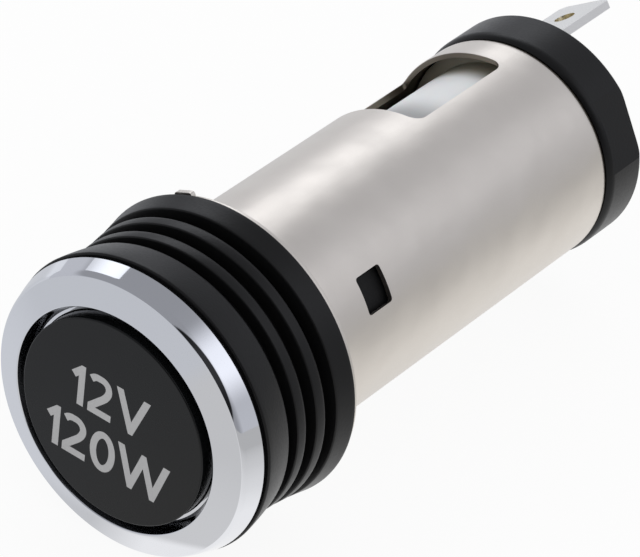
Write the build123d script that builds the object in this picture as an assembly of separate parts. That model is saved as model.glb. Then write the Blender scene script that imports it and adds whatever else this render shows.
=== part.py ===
"""Round 12 V power socket for a vehicle panel, closed by a pull-out cover plug.

The axis runs along Y. The front faces -Y, +X is to the right and +Z is up. The origin is on the axis,
in the plane where the back of the barrel's flange seats on the panel. Sizes are in millimetres.
"""
import os
from math import atan2, cos, hypot, radians, sin, sqrt, tan

from build123d import *

# Barrel, drawn from thin plated steel
BORE_DIA = 21.4
BARREL_WALL = 0.5
BARREL_DEPTH = 43.5
FLANGE_DIA = 28.4
END_ROUND = 1.5
MOUTH_ROUND = 0.4
FLOOR_HOLE_DIA = 8.0

# Locating lug on the flange
LUG_WIDTH = 1.7
LUG_RISE = 0.55
LUG_ROUND = 0.3
LUG_ANGLE = 114.0

# Features of the barrel's side, placed behind the panel seat and round the axis from +X towards +Z
SOCKET_ANGLE = 35.2
WINDOW_WIDTH = 3.6
WINDOW_LENGTH = 3.3
WINDOW_START = 6.75
WINDOW_ROUND = 0.3
SLOT_CHORD = 13.0
SLOT_LENGTH = 13.3
SLOT_START = 26.0
SLOT_ROUND = 1.1
SLOT_FAR_ROUND = 0.4

# Contact holder, a moulded cup in the rear of the barrel
HOLDER_DIA = 18.7
HOLDER_WALL = 1.0
HOLDER_FLOOR = 1.5
HOLDER_LENGTH = 19.0
HOLDER_RIM = 0.5

# Centre contact and the rivet stack
CONTACT_DIA = 12.4
CONTACT_THICKNESS = 0.5
CONTACT_DISH = 0.9
CONTACT_FLAT_DIA = 6.4
RIVET_DIA = 3.2
RIVET_BORE_DIA = 1.6
RIVET_HEAD_DIA = 5.0
RIVET_HEAD = 0.7
WASHER_DIA = 5.2
WASHER_THICKNESS = 0.4
WASHER_SPLIT = 0.5

# Blade terminals
BLADE_THICKNESS = 0.8
BLADE_BEND = 0.3
BLADE_TIP_CHAMFER = 0.6
BLADE_HOLE_DIA = 2.1
BLADE_HOLE_SETBACK = 3.7
GROUND_WIDTH = 6.3
GROUND_SIDESTEP = 0.5
GROUND_OFFSET = 7.84
GROUND_REACH = 11.8
GROUND_RING_DIA = 14.0
POSITIVE_WIDTH = 6.3
POSITIVE_OFFSET = 3.8
POSITIVE_REACH = 9.0

# Rear cap, a moulded insulator
CAP_DIA = 22.95
CAP_LENGTH = 6.05
CAP_WEB = 1.6
CAP_RECESS_DIA = 18.6
CAP_LIP_SETBACK = 0.85
CAP_LIP_RUN = 0.9
CAP_LIP_DROP = 0.4
CAP_FLAT_DISTANCE = 10.9
CAP_FLAT_ANGLE = 29.7
CAP_EDGE_ROUND = 0.4

# Cover plug: body, springs, grip, trim ring and face disc
SHANK_LENGTH = 20.0
SHANK_WALL = 1.5
SHANK_LEAD = 0.8
CORE_DIA = 23.2
CORE_LIP_DIA = 25.2
CORE_LIP = 1.5
CORE_FRONT_WALL = 1.6
SPRING_WIDTH = 3.6
SPRING_THICKNESS = 0.4
SPRING_START = 3.0
SPRING_LENGTH = 14.0
SPRING_FOOT = 1.6
SPRING_RAMP = 3.4
SPRING_BEND = 1.5
GRIP_LENGTH = 12.2
GRIP_FRONT_DIA = 28.8
GRIP_WAIST_DIA = 27.4
GRIP_BACK_DIA = 29.4
GRIP_WAIST_SETBACK = 4.2
GRIP_CROWN = 0.06
GRIP_FLARE_HOLLOW = 0.2
GRIP_EDGE_ROUND = 0.2
SHADOW_GAP = 0.5
SHADOW_DEPTH = 0.5
GROOVE_COUNT = 3
GROOVE_PITCH = 2.37
GROOVE_WIDTH = 1.05
GROOVE_DEPTH = 1.2
GROOVE_SHOULDER_ROUND = 0.45
RING_BACK_DIA = 28.4
RING_WIDTH = 3.3
RING_DRAFT = 18.2
RING_FLANK = 1.42
RING_SHOULDER_RUN = 0.58
RING_SHOULDER_DROP = 0.333
RING_HEIGHT = 2.82
RING_SPIGOT = 0.85
RING_EDGE_ROUND = 0.12
RING_HOLE_ROUND = 0.15
RING_LEDGE_DEPTH = 1.5
RING_LEDGE_WIDTH = 0.25
DISC_GAP = 0.95
DISC_DIA = RING_BACK_DIA - 2 * (RING_WIDTH + DISC_GAP)
DISC_RISE = 0.2
DISC_ROUND = 0.3
STUD_DIA = 4.0

# Clearances
PLUG_CLEARANCE = 0.3
SPRING_CLEARANCE = 0.04
SEAT_GAP = 0.05
PRESS_CLEARANCE = 0.05
LOCATE_CLEARANCE = 0.1
SLOT_CLEARANCE = 0.2

# Radii and planes that follow from the sizes above
bore_r = BORE_DIA / 2
barrel_r = bore_r + BARREL_WALL
flange_r = FLANGE_DIA / 2
flange_front = -BARREL_WALL
floor_front = BARREL_DEPTH - BARREL_WALL
end_start = BARREL_DEPTH - END_ROUND
slot_angle = SOCKET_ANGLE + 90

holder_r = HOLDER_DIA / 2
holder_front = floor_front - HOLDER_LENGTH
holder_floor_front = floor_front - HOLDER_FLOOR
spigot_r = FLOOR_HOLE_DIA / 2 - LOCATE_CLEARANCE

ring_plate_back = BARREL_DEPTH + BLADE_THICKNESS
web_back = ring_plate_back + CAP_WEB
cap_back = end_start + CAP_LENGTH
stack_hole_r = RIVET_DIA / 2 + PRESS_CLEARANCE
positive_foot_back = web_back + BLADE_THICKNESS

shank_r = bore_r - PLUG_CLEARANCE
hollow_r = shank_r - SHANK_WALL
head_back = flange_front - SEAT_GAP
grip_front = head_back - GRIP_LENGTH
core_r = CORE_DIA / 2
core_front = grip_front - RING_SPIGOT
core_lip_r = CORE_LIP_DIA / 2
core_lip_front = head_back - CORE_LIP
ring_front = grip_front - RING_HEIGHT


def turned(*points):
    """Closed profile of (radius, y) points for a turned piece."""
    return make_face(Polyline(*points, close=True))


def soften(profile, corner, radius):
    """Profile with the corner nearest to the given (radius, y) point rounded."""
    nearest = profile.vertices().sort_by_distance((*corner, 0))[0]
    return fillet(nearest, radius)


def spun(profile):
    """Solid made by turning a profile once round the Y axis."""
    return revolve(profile, Axis.Y)


def clocked(shape, angle):
    """Shape turned round the axis by an angle that runs from +X towards +Z."""
    return Rot(0, -angle, 0) * shape


def side_punch(outline, angle):
    """Cutter that carries an outline outwards from the axis at an angle.

    The outline's y runs along the axis, and its x runs round it towards smaller angles.
    """
    plane = Plane(origin=(0, 0, 0), x_dir=(0, 0, -1), z_dir=(1, 0, 0))
    return clocked(extrude(plane * outline, amount=FLANGE_DIA), angle)


def make_barrel():
    profile = turned(
        (bore_r, flange_front), (flange_r, flange_front), (flange_r, 0), (barrel_r, 0),
        (barrel_r, BARREL_DEPTH), (FLOOR_HOLE_DIA / 2, BARREL_DEPTH),
        (FLOOR_HOLE_DIA / 2, floor_front), (bore_r, floor_front))
    profile = soften(profile, (barrel_r, BARREL_DEPTH), END_ROUND)
    profile = soften(profile, (bore_r, floor_front), END_ROUND - BARREL_WALL)
    profile = soften(profile, (bore_r, flange_front), MOUTH_ROUND)
    barrel = spun(profile)

    lug_length = flange_r + LUG_RISE - barrel_r
    lug = extrude(Plane.XZ * Rectangle(lug_length, LUG_WIDTH), amount=BARREL_WALL)
    tip_edges = lug.edges().filter_by(Axis.Y).group_by(Axis.X)[-1]
    lug = fillet(tip_edges, LUG_ROUND)
    barrel += clocked(Pos(barrel_r + lug_length / 2, 0, 0) * lug, LUG_ANGLE)

    window = RectangleRounded(WINDOW_WIDTH, WINDOW_LENGTH, WINDOW_ROUND)
    window = Pos(0, WINDOW_START + WINDOW_LENGTH / 2) * window
    for angle in (SOCKET_ANGLE, SOCKET_ANGLE + 180):
        barrel -= side_punch(window, angle)
    return barrel - side_punch(slot_outline(), slot_angle)


def slot_outline():
    """Side slot with rounded corners, the tightest at the rear on the side away from the window."""
    slot = Pos(0, SLOT_START + SLOT_LENGTH / 2) * Rectangle(SLOT_CHORD, SLOT_LENGTH)
    near = SLOT_CHORD / 2
    slot_back = SLOT_START + SLOT_LENGTH
    slot = soften(slot, (-near, slot_back), SLOT_FAR_ROUND)
    for corner in ((near, SLOT_START), (near, slot_back), (-near, SLOT_START)):
        slot = soften(slot, corner, SLOT_ROUND)
    return slot


def make_contact_holder():
    inner_r = holder_r - HOLDER_WALL
    rim_r = bore_r - LOCATE_CLEARANCE
    rim_back = end_start - LOCATE_CLEARANCE
    base_r = rim_r - (floor_front - rim_back)
    return spun(turned(
        (inner_r, holder_front), (holder_r, holder_front), (holder_r, rim_back - HOLDER_RIM),
        (rim_r, rim_back - HOLDER_RIM), (rim_r, rim_back), (base_r, floor_front), (spigot_r, floor_front),
        (spigot_r, ring_plate_back), (stack_hole_r, ring_plate_back), (stack_hole_r, holder_floor_front),
        (inner_r, holder_floor_front)))


def make_centre_contact():
    back = holder_floor_front
    front = back - CONTACT_THICKNESS
    flat_r = CONTACT_FLAT_DIA / 2
    rim_r = CONTACT_DIA / 2
    return spun(turned(
        (stack_hole_r, front), (flat_r, front), (rim_r, front - CONTACT_DISH), (rim_r, back - CONTACT_DISH),
        (flat_r, back), (stack_hole_r, back)))


def make_contact_rivet():
    shank = RIVET_DIA / 2
    head = RIVET_HEAD_DIA / 2
    front_seat = holder_floor_front - CONTACT_THICKNESS
    back_seat = positive_foot_back + WASHER_THICKNESS
    profile = turned(
        (RIVET_BORE_DIA / 2, front_seat - RIVET_HEAD), (head, front_seat - RIVET_HEAD), (head, front_seat),
        (shank, front_seat), (shank, back_seat), (head, back_seat), (head, back_seat + RIVET_HEAD),
        (RIVET_BORE_DIA / 2, back_seat + RIVET_HEAD))
    for edge in (front_seat - RIVET_HEAD, back_seat + RIVET_HEAD):
        profile = soften(profile, (head, edge), RIVET_HEAD / 2)
    return spun(profile)


def make_spring_washer():
    ring = spun(turned(
        (stack_hole_r, positive_foot_back), (WASHER_DIA / 2, positive_foot_back),
        (WASHER_DIA / 2, positive_foot_back + WASHER_THICKNESS),
        (stack_hole_r, positive_foot_back + WASHER_THICKNESS)))
    split = Box(WASHER_DIA, CAP_LENGTH, WASHER_SPLIT, align=(Align.MIN, Align.CENTER, Align.CENTER))
    return ring - Pos(0, positive_foot_back, 0) * split


def bent_blade(inner, outer, foot_front, tip, width):
    """Blade standing off a flat foot, with the foot running out from the inner to the outer radius."""
    foot_back = foot_front + BLADE_THICKNESS
    profile = turned(
        (inner, foot_front), (outer, foot_front), (outer, tip), (outer - BLADE_THICKNESS, tip),
        (outer - BLADE_THICKNESS, foot_back), (inner, foot_back))
    profile = soften(profile, (outer, foot_front), BLADE_BEND + BLADE_THICKNESS)
    profile = soften(profile, (outer - BLADE_THICKNESS, foot_back), BLADE_BEND)
    blade = extrude(profile, amount=width / 2, both=True)
    tip_edges = blade.edges().filter_by(Axis.X).group_by(Axis.Y)[-1]
    blade = chamfer(tip_edges, BLADE_TIP_CHAMFER)
    hole = Plane.YZ * Pos(tip - BLADE_HOLE_SETBACK, 0) * Circle(BLADE_HOLE_DIA / 2)
    return blade - extrude(hole, amount=FLANGE_DIA)


def make_ground_terminal():
    hole_r = FLOOR_HOLE_DIA / 2 + LOCATE_CLEARANCE
    plate = spun(turned(
        (hole_r, BARREL_DEPTH), (GROUND_RING_DIA / 2, BARREL_DEPTH),
        (GROUND_RING_DIA / 2, ring_plate_back), (hole_r, ring_plate_back)))
    foot_start = (hole_r + GROUND_RING_DIA / 2) / 2
    blade = bent_blade(foot_start, GROUND_OFFSET, BARREL_DEPTH, cap_back + GROUND_REACH, GROUND_WIDTH)
    return clocked(plate + Pos(0, 0, -GROUND_SIDESTEP) * blade, slot_angle)


def make_positive_terminal():
    eye_r = POSITIVE_WIDTH / 2
    eye = spun(turned(
        (stack_hole_r, web_back), (eye_r, web_back), (eye_r, positive_foot_back),
        (stack_hole_r, positive_foot_back)))
    blade = bent_blade(stack_hole_r, POSITIVE_OFFSET, web_back, cap_back + POSITIVE_REACH, POSITIVE_WIDTH)
    return clocked(eye + blade, SOCKET_ANGLE + 180)


def make_rear_cap():
    socket_r = barrel_r + PRESS_CLEARANCE
    cap_r = CAP_DIA / 2
    recess_r = CAP_RECESS_DIA / 2
    pocket_r = hypot(GROUND_OFFSET, GROUND_WIDTH / 2 + GROUND_SIDESTEP) + LOCATE_CLEARANCE
    profile = turned(
        (socket_r, end_start), (cap_r, end_start), (cap_r, cap_back), (recess_r, cap_back),
        (recess_r, web_back), (stack_hole_r, web_back), (stack_hole_r, ring_plate_back),
        (pocket_r, ring_plate_back), (pocket_r, BARREL_DEPTH), (socket_r, BARREL_DEPTH))
    profile = soften(profile, (socket_r, BARREL_DEPTH), END_ROUND - PRESS_CLEARANCE)
    profile = soften(profile, (cap_r, cap_back), CAP_EDGE_ROUND)
    cap = spun(profile - ahead_of_lip(cap_r))
    flat = Box(CAP_DIA, CAP_LENGTH, CAP_DIA, align=(Align.MIN, Align.MIN, Align.CENTER))
    for angle in (CAP_FLAT_ANGLE, CAP_FLAT_ANGLE + 180):
        cap -= clocked(Pos(CAP_FLAT_DISTANCE, BARREL_DEPTH, 0) * flat, angle)
    passage = Box(
        BLADE_THICKNESS + 2 * (BLADE_BEND + SLOT_CLEARANCE), CAP_LENGTH, GROUND_WIDTH + 2 * SLOT_CLEARANCE)
    blade_middle = GROUND_OFFSET - BLADE_THICKNESS / 2
    return cap - clocked(Pos(blade_middle, web_back, -GROUND_SIDESTEP) * passage, slot_angle)


def ahead_of_lip(cap_r):
    """Waste in front of the cap's lip, whose outside curves in to the barrel."""
    lip_front = end_start + CAP_LIP_SETBACK
    root = (cap_r, lip_front + CAP_LIP_RUN)
    tip = (cap_r - CAP_LIP_DROP, lip_front)
    return make_face([
        TangentArc(root, tip, tangent=(0, -1)),
        Polyline(tip, (bore_r, lip_front), (bore_r, 0), (flange_r, 0), (flange_r, root[1]), root)])


def spring_path():
    """Middle line of a leaf spring: feet inside the shank and a crest that stands out of its window."""
    wall_flat = sqrt((hollow_r - PRESS_CLEARANCE) ** 2 - (SPRING_WIDTH / 2) ** 2)
    foot = wall_flat - SPRING_THICKNESS / 2
    crest = sqrt((bore_r - SPRING_CLEARANCE) ** 2 - (SPRING_WIDTH / 2) ** 2) - SPRING_THICKNESS / 2
    start = SPRING_START
    stop = SPRING_START + SPRING_LENGTH
    return FilletPolyline(
        (foot, start), (foot, start + SPRING_FOOT), (crest, start + SPRING_FOOT + SPRING_RAMP),
        (crest, stop - SPRING_FOOT - SPRING_RAMP), (foot, stop - SPRING_FOOT), (foot, stop),
        radius=SPRING_BEND)


def make_plug_spring(angle):
    path = spring_path()
    start = Plane(origin=path @ 0, x_dir=(0, 0, 1), z_dir=path % 0)
    section = start * Rectangle(SPRING_WIDTH, SPRING_THICKNESS)
    return clocked(sweep(section, path=path), angle)


def make_plug_body():
    hollow_front = core_front + CORE_FRONT_WALL
    stud_hole_r = STUD_DIA / 2 + PRESS_CLEARANCE
    profile = turned(
        (stud_hole_r, core_front), (core_r, core_front), (core_r, core_lip_front),
        (core_lip_r, core_lip_front), (core_lip_r, head_back), (shank_r, head_back),
        (shank_r, SHANK_LENGTH - SHANK_LEAD), (shank_r - SHANK_LEAD, SHANK_LENGTH),
        (hollow_r, SHANK_LENGTH), (hollow_r, hollow_front), (stud_hole_r, hollow_front))
    body = spun(profile)
    window_start = SPRING_START + SPRING_FOOT - SLOT_CLEARANCE
    window_length = SPRING_LENGTH - 2 * SPRING_FOOT + 2 * SLOT_CLEARANCE
    window = Rectangle(SPRING_WIDTH + 2 * SLOT_CLEARANCE, window_length)
    window = Pos(0, window_start + window_length / 2) * window
    for angle in (0, 180):
        body -= side_punch(window, angle)
    return body


def grip_outline():
    """Grip section: a crowned front band down to the waist, then a hollow flare to the rear flange."""
    inner_r = core_r + PRESS_CLEARANCE
    lip_bore_r = core_lip_r + PRESS_CLEARANCE
    front_r = GRIP_FRONT_DIA / 2
    waist_r = GRIP_WAIST_DIA / 2
    back_r = GRIP_BACK_DIA / 2
    band_front = grip_front + SHADOW_GAP
    waist = grip_front + GRIP_WAIST_SETBACK
    step_r = front_r - SHADOW_DEPTH
    band_middle = ((front_r + waist_r) / 2 + GRIP_CROWN, (band_front + waist) / 2)
    flare_middle = ((waist_r + back_r) / 2 - GRIP_FLARE_HOLLOW, (waist + head_back) / 2)
    section = make_face([
        Polyline((inner_r, grip_front), (step_r, grip_front), (step_r, band_front), (front_r, band_front)),
        ThreePointArc((front_r, band_front), band_middle, (waist_r, waist)),
        ThreePointArc((waist_r, waist), flare_middle, (back_r, head_back)),
        Polyline((back_r, head_back), (lip_bore_r, head_back), (lip_bore_r, core_lip_front),
                 (inner_r, core_lip_front), (inner_r, grip_front))])
    for corner in ((step_r, grip_front), (step_r, band_front), (back_r, head_back)):
        section = soften(section, corner, GRIP_EDGE_ROUND)
    rim_angle = atan2(waist - band_front, front_r - waist_r)
    rim_land = SHADOW_DEPTH - GRIP_EDGE_ROUND
    return soften(section, (front_r, band_front), min(GRIP_EDGE_ROUND, rim_land * tan(rim_angle / 2)))


def make_grip_sleeve():
    section = grip_outline()
    waist_r = GRIP_WAIST_DIA / 2
    for index in range(GROOVE_COUNT):
        front = grip_front + GRIP_WAIST_SETBACK + index * GROOVE_PITCH
        groove = Rectangle(GRIP_BACK_DIA, GROOVE_WIDTH, align=(Align.MIN, Align.MIN))
        section -= Pos(waist_r - GROOVE_DEPTH, front) * groove
        section = soften(section, (waist_r, front), GROOVE_SHOULDER_ROUND)
        section = soften(section, (waist_r, front + GROOVE_WIDTH), GRIP_EDGE_ROUND)
    return spun(section)


def make_trim_ring():
    """Ring with a drafted side, a curved shoulder and a hole that narrows to a ledge round the disc."""
    back_r = RING_BACK_DIA / 2
    seat_r = core_r + PRESS_CLEARANCE
    hole_r = DISC_DIA / 2 + DISC_GAP
    disc_hole_r = DISC_DIA / 2 + LOCATE_CLEARANCE
    ledge_r = disc_hole_r + RING_LEDGE_WIDTH
    ledge_front = ring_front + RING_LEDGE_DEPTH
    draft = radians(RING_DRAFT)
    flank = (back_r - RING_FLANK * tan(draft), grip_front - RING_FLANK)
    shoulder = (flank[0] - RING_SHOULDER_DROP, flank[1] - RING_SHOULDER_RUN)
    profile = make_face([
        TangentArc(flank, shoulder, tangent=(-sin(draft), -cos(draft))),
        Polyline(flank, (back_r, grip_front), (seat_r, grip_front), (seat_r, core_front),
                 (disc_hole_r, core_front), (disc_hole_r, ledge_front), (ledge_r, ledge_front),
                 (hole_r, ring_front), shoulder)])
    profile = soften(profile, shoulder, RING_EDGE_ROUND)
    profile = soften(profile, (hole_r, ring_front), RING_HOLE_ROUND)
    return spun(profile)


def make_face_disc():
    disc_r = DISC_DIA / 2
    face = ring_front - DISC_RISE
    stud_r = STUD_DIA / 2
    stud_end = core_front + CORE_FRONT_WALL
    profile = turned(
        (0, face), (disc_r, face), (disc_r, core_front), (stud_r, core_front),
        (stud_r, stud_end), (0, stud_end))
    profile = soften(profile, (disc_r, face), DISC_ROUND)
    return spun(profile)


pieces = {
    "barrel": make_barrel(),
    "contact_holder": make_contact_holder(),
    "centre_contact": make_centre_contact(),
    "contact_rivet": make_contact_rivet(),
    "spring_washer": make_spring_washer(),
    "ground_terminal": make_ground_terminal(),
    "positive_terminal": make_positive_terminal(),
    "rear_cap": make_rear_cap(),
    "plug_body": make_plug_body(),
    "plug_spring_right": make_plug_spring(0),
    "plug_spring_left": make_plug_spring(180),
    "grip_sleeve": make_grip_sleeve(),
    "trim_ring": make_trim_ring(),
    "face_disc": make_face_disc(),
}

os.makedirs("parts", exist_ok=True)
for node, shape in pieces.items():
    export_step(shape, f"parts/{node}.step")
    print(node, round(shape.volume, 2), "mm3")
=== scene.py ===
# %% [markdown]
# # A car's 12 volt power socket
# The part is a flanged metal barrel that sits in a vehicle's panel, closed by a ribbed plug that pulls
# out. Its solids come ready made as a frame: this lesson remakes each visible piece as a clean, smooth
# mesh in the same place, gives every surface its finish, and sets up the studio of the photograph.
# Shapes are given in millimetres, and finishes and the studio in metres. The axis is along Y, with the
# front at -Y and up at +Z.

# %% Load the frame
from math import asin, cos, degrees, hypot, pi, radians, sin, tan

import bmesh
import bpy
from mathutils import Matrix, Vector


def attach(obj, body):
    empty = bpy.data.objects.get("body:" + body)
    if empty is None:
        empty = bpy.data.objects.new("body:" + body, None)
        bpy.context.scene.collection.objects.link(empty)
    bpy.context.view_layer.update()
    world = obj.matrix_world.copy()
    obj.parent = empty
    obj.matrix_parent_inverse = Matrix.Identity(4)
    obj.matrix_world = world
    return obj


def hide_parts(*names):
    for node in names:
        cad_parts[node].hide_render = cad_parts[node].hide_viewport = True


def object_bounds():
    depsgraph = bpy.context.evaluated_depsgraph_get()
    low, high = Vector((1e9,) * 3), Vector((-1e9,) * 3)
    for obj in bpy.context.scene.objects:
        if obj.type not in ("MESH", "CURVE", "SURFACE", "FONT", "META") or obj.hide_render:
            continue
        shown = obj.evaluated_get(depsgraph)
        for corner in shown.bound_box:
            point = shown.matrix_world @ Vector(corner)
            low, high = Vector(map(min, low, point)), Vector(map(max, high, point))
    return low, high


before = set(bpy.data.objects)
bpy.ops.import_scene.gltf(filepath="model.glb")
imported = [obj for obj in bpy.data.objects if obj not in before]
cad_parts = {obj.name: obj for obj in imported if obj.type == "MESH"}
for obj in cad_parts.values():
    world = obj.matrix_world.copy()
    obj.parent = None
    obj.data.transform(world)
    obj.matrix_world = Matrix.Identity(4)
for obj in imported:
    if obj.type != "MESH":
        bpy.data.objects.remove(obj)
CAD_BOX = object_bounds()
print("nodes:", ", ".join(sorted(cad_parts)))

# %% [markdown]
# ## Drawing and turning
# Nearly every piece here is turned round one axis, so the main tool is a lathe. The section is drawn as
# by hand: one point, extruded from corner to corner, with corners rounded by a vertex bevel, and then
# spun a whole turn. A modelled cylinder with inset and extruded caps would give the same shape, but a
# drawn section keeps every radius in one place.

# %% Helpers for edit mode
MM = 0.001
NEAR = 0.02


def leave_edit_mode():
    if bpy.context.object and bpy.context.object.mode == "EDIT":
        bpy.ops.object.mode_set(mode="OBJECT")


def start_piece(name, add, **settings):
    """Add one primitive with nothing else selected, and leave it in edit mode."""
    leave_edit_mode()
    bpy.ops.object.select_all(action="DESELECT")
    add(**settings)
    piece = bpy.context.object
    piece.name = name
    piece.data.name = name
    bpy.ops.object.mode_set(mode="EDIT")
    bpy.ops.mesh.select_mode(type="VERT")
    bpy.ops.mesh.select_all(action="SELECT")
    return piece


def pick(piece, kind, wanted):
    """Select the mesh's verts, edges or faces whose middle passes the test, and nothing else."""
    bpy.ops.mesh.select_mode(type=kind.upper())
    bpy.ops.mesh.select_all(action="DESELECT")
    mesh = bmesh.from_edit_mesh(piece.data)
    found = 0
    for part in getattr(mesh, kind.lower() + "s"):
        corners = [part] if kind == "vert" else part.verts
        middle = sum((v.co for v in corners), Vector()) / len(corners)
        if wanted(middle / MM, part):
            part.select_set(True)
            found += 1
    mesh.select_flush_mode()
    bmesh.update_edit_mesh(piece.data)
    return found


def close_to(x, y, z=0.0):
    """Test for pick: near a point given in millimetres."""
    return lambda middle, part: (middle - Vector((x, y, z))).length < NEAR


def extrude(x, y, z):
    """Extrude the selection by a step in millimetres."""
    bpy.ops.mesh.extrude_region_move(TRANSFORM_OT_translate={"value": (x * MM, y * MM, z * MM)})


def bevel(offset, segments, affect="EDGES"):
    """Round the selected edges or vertices, by an offset in millimetres."""
    bpy.ops.mesh.bevel(
        offset_type="OFFSET", offset=offset * MM, affect=affect, segments=segments, profile=0.5)


def face_outwards():
    """Point all faces of the mesh outwards."""
    bpy.ops.mesh.select_all(action="SELECT")
    bpy.ops.mesh.normals_make_consistent(inside=False)


def draw_line(name, points):
    """Wire from one (x, y, z) point in millimetres to the next, left in edit mode."""
    piece = start_piece(name, bpy.ops.mesh.primitive_plane_add, size=MM)
    bpy.ops.mesh.merge(type="CENTER")
    bpy.ops.transform.translate(value=[c * MM for c in points[0]])
    for (x0, y0, z0), (x1, y1, z1) in zip(points, points[1:]):
        extrude(x1 - x0, y1 - y0, z1 - z0)
    return piece


# %% Helpers for objects
EDGE_ANGLE = radians(50)


def activate(piece):
    """Make one object the only selected and active one, in object mode."""
    leave_edit_mode()
    bpy.ops.object.select_all(action="DESELECT")
    bpy.context.view_layer.objects.active = piece
    piece.select_set(True)


def apply_modifier(piece, kind, **settings):
    """Add a modifier, set it, and apply it."""
    activate(piece)
    bpy.ops.object.modifier_add(type=kind)
    modifier = piece.modifiers[-1]
    for key, value in settings.items():
        setattr(modifier, key, value)
    bpy.ops.object.modifier_apply(modifier=modifier.name)


def break_edges(piece, width):
    """Take the sharpness off a stamped piece's edges, by a width in millimetres."""
    apply_modifier(
        piece, "BEVEL", width=width * MM, segments=2, limit_method="ANGLE", angle_limit=EDGE_ANGLE)


# %% The lathe
TURN_STEPS = 192
WELD_REACH = 0.0005
LEAST_SEGMENTS, SEGMENTS_PER_MM = 5, 6


def draw_section(name, corners):
    """Closed wire of (radius, y) corners in millimetres, in the plane of X and Y."""
    piece = draw_line(name, [(radius, y, 0) for radius, y in corners])
    first, last = close_to(*corners[0]), close_to(*corners[-1])
    pick(piece, "vert", lambda middle, part: first(middle, part) or last(middle, part))
    bpy.ops.mesh.edge_face_add()
    return piece


def round_corner(piece, corner, radius, segments):
    """Round one corner of a drawn section to a radius in millimetres."""
    if pick(piece, "vert", close_to(*corner)) != 1:
        raise ValueError(f"{piece.name} has no single corner at {corner}")
    mesh = bmesh.from_edit_mesh(piece.data)
    point = next(v for v in mesh.verts if v.select)
    one, two = (e.other_vert(point).co - point.co for e in point.link_edges)
    setback = radius / tan(one.angle(two) / 2)
    bevel(setback, segments, "VERTICES")


def spin_section():
    """Turn the drawn section once round Y, weld the seam and point the faces outwards."""
    bpy.ops.mesh.select_all(action="SELECT")
    bpy.ops.mesh.spin(steps=TURN_STEPS, angle=2 * pi, center=(0, 0, 0), axis=(0, 1, 0))
    bpy.ops.mesh.select_all(action="SELECT")
    bpy.ops.mesh.remove_doubles(threshold=WELD_REACH * MM)
    face_outwards()
    bpy.ops.object.mode_set(mode="OBJECT")


def turned(name, corners, rounds=()):
    """A turned piece from its section's corners and the (corner, radius) rounds on them."""
    piece = draw_section(name, corners)
    for corner, radius in rounds:
        round_corner(piece, corner, radius, LEAST_SEGMENTS + int(SEGMENTS_PER_MM * radius))
    spin_section()
    return piece


def arc(x, y, radius, first, last, steps):
    """Points of a section on a circle round (x, y), from one angle in degrees to another."""
    turns = [radians(first + (last - first) * step / steps) for step in range(steps + 1)]
    return [(x + radius * cos(turn), y + radius * sin(turn)) for turn in turns]


def settle(piece, node, body, angle=32):
    """Shade a finished piece, and let it stand for its CAD node on that node's body."""
    activate(piece)
    bpy.ops.object.shade_smooth_by_angle(angle=radians(angle))
    apply_modifier(piece, "WEIGHTED_NORMAL", keep_sharp=True, weight=80)
    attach(piece, body)
    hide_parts(node)
    low, high = (Vector(c) / MM for c in (piece.bound_box[0], piece.bound_box[6]))
    print(f"{piece.name}: {len(piece.data.polygons)} faces, y {low.y:.2f} to {high.y:.2f} mm")


# %% Cutting
def clock(piece, angle):
    """Turn an object round the axis, from +X towards +Z, and put the turn into its mesh."""
    activate(piece)
    piece.rotation_euler = (0, -radians(angle), 0)
    bpy.ops.object.transform_apply(location=False, rotation=True, scale=False)


def combine(piece, tool, operation):
    """Cut a tool out of a piece, or weld it on, and remove the tool."""
    apply_modifier(piece, "BOOLEAN", object=tool, operation=operation, solver="EXACT")
    bpy.data.objects.remove(tool)


def block(name, low, high):
    """A box between two corners in millimetres, left in edit mode."""
    low, high = Vector(low) * MM, Vector(high) * MM
    piece = start_piece(name, bpy.ops.mesh.primitive_cube_add, size=1)
    bpy.ops.transform.resize(value=high - low)
    bpy.ops.transform.translate(value=(low + high) / 2)
    return piece


def drill(piece, radius, depth, place, rotation, vertices):
    """Cut a round hole in a piece, with its sizes and its middle in millimetres."""
    punch = start_piece(
        "hole_punch", bpy.ops.mesh.primitive_cylinder_add, vertices=vertices, radius=radius * MM,
        depth=depth * MM, location=[c * MM for c in place], rotation=rotation)
    combine(piece, punch, "DIFFERENCE")


def round_upright(piece, y, z, radius, segments):
    """Round the one edge of a block that runs along X at (y, z) millimetres."""
    def wanted(middle, part):
        run = part.verts[0].co - part.verts[1].co
        return abs(run.x) > 2 * hypot(run.y, run.z) and hypot(middle.y - y, middle.z - z) < NEAR
    if pick(piece, "edge", wanted) != 1:
        raise ValueError(f"{piece.name} has no single edge at {y}, {z}")
    bevel(radius, segments)


# %% [markdown]
# ## The barrel
# The barrel is a shell of thin steel, deep drawn from one disc, so the wall is even, the closed end has a
# soft round and the mouth is rolled out to a flat flange. It is spun from its section, and the latch
# windows and the side slot are then cut out by solid tools, as a press punches them.

# %% Barrel
BORE_R, BARREL_R, FLANGE_R = 10.7, 11.2, 14.35
FLANGE_FRONT, END_FRONT, END_BACK = -0.5, 43, 43.5
END_HOLE_R = 4
END_ROUND, END_INNER_ROUND, MOUTH_ROUND, FLANGE_EDGE = 1.5, 1.0, 0.4, 0.1
barrel = turned(
    "barrel_shell",
    [(BORE_R, FLANGE_FRONT), (FLANGE_R, FLANGE_FRONT), (FLANGE_R, 0), (BARREL_R, 0), (BARREL_R, END_BACK),
     (END_HOLE_R, END_BACK), (END_HOLE_R, END_FRONT), (BORE_R, END_FRONT)],
    [((BARREL_R, END_BACK), END_ROUND), ((BORE_R, END_FRONT), END_INNER_ROUND),
     ((BORE_R, FLANGE_FRONT), MOUTH_ROUND), ((FLANGE_R, FLANGE_FRONT), FLANGE_EDGE),
     ((FLANGE_R, 0), FLANGE_EDGE)])

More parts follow.
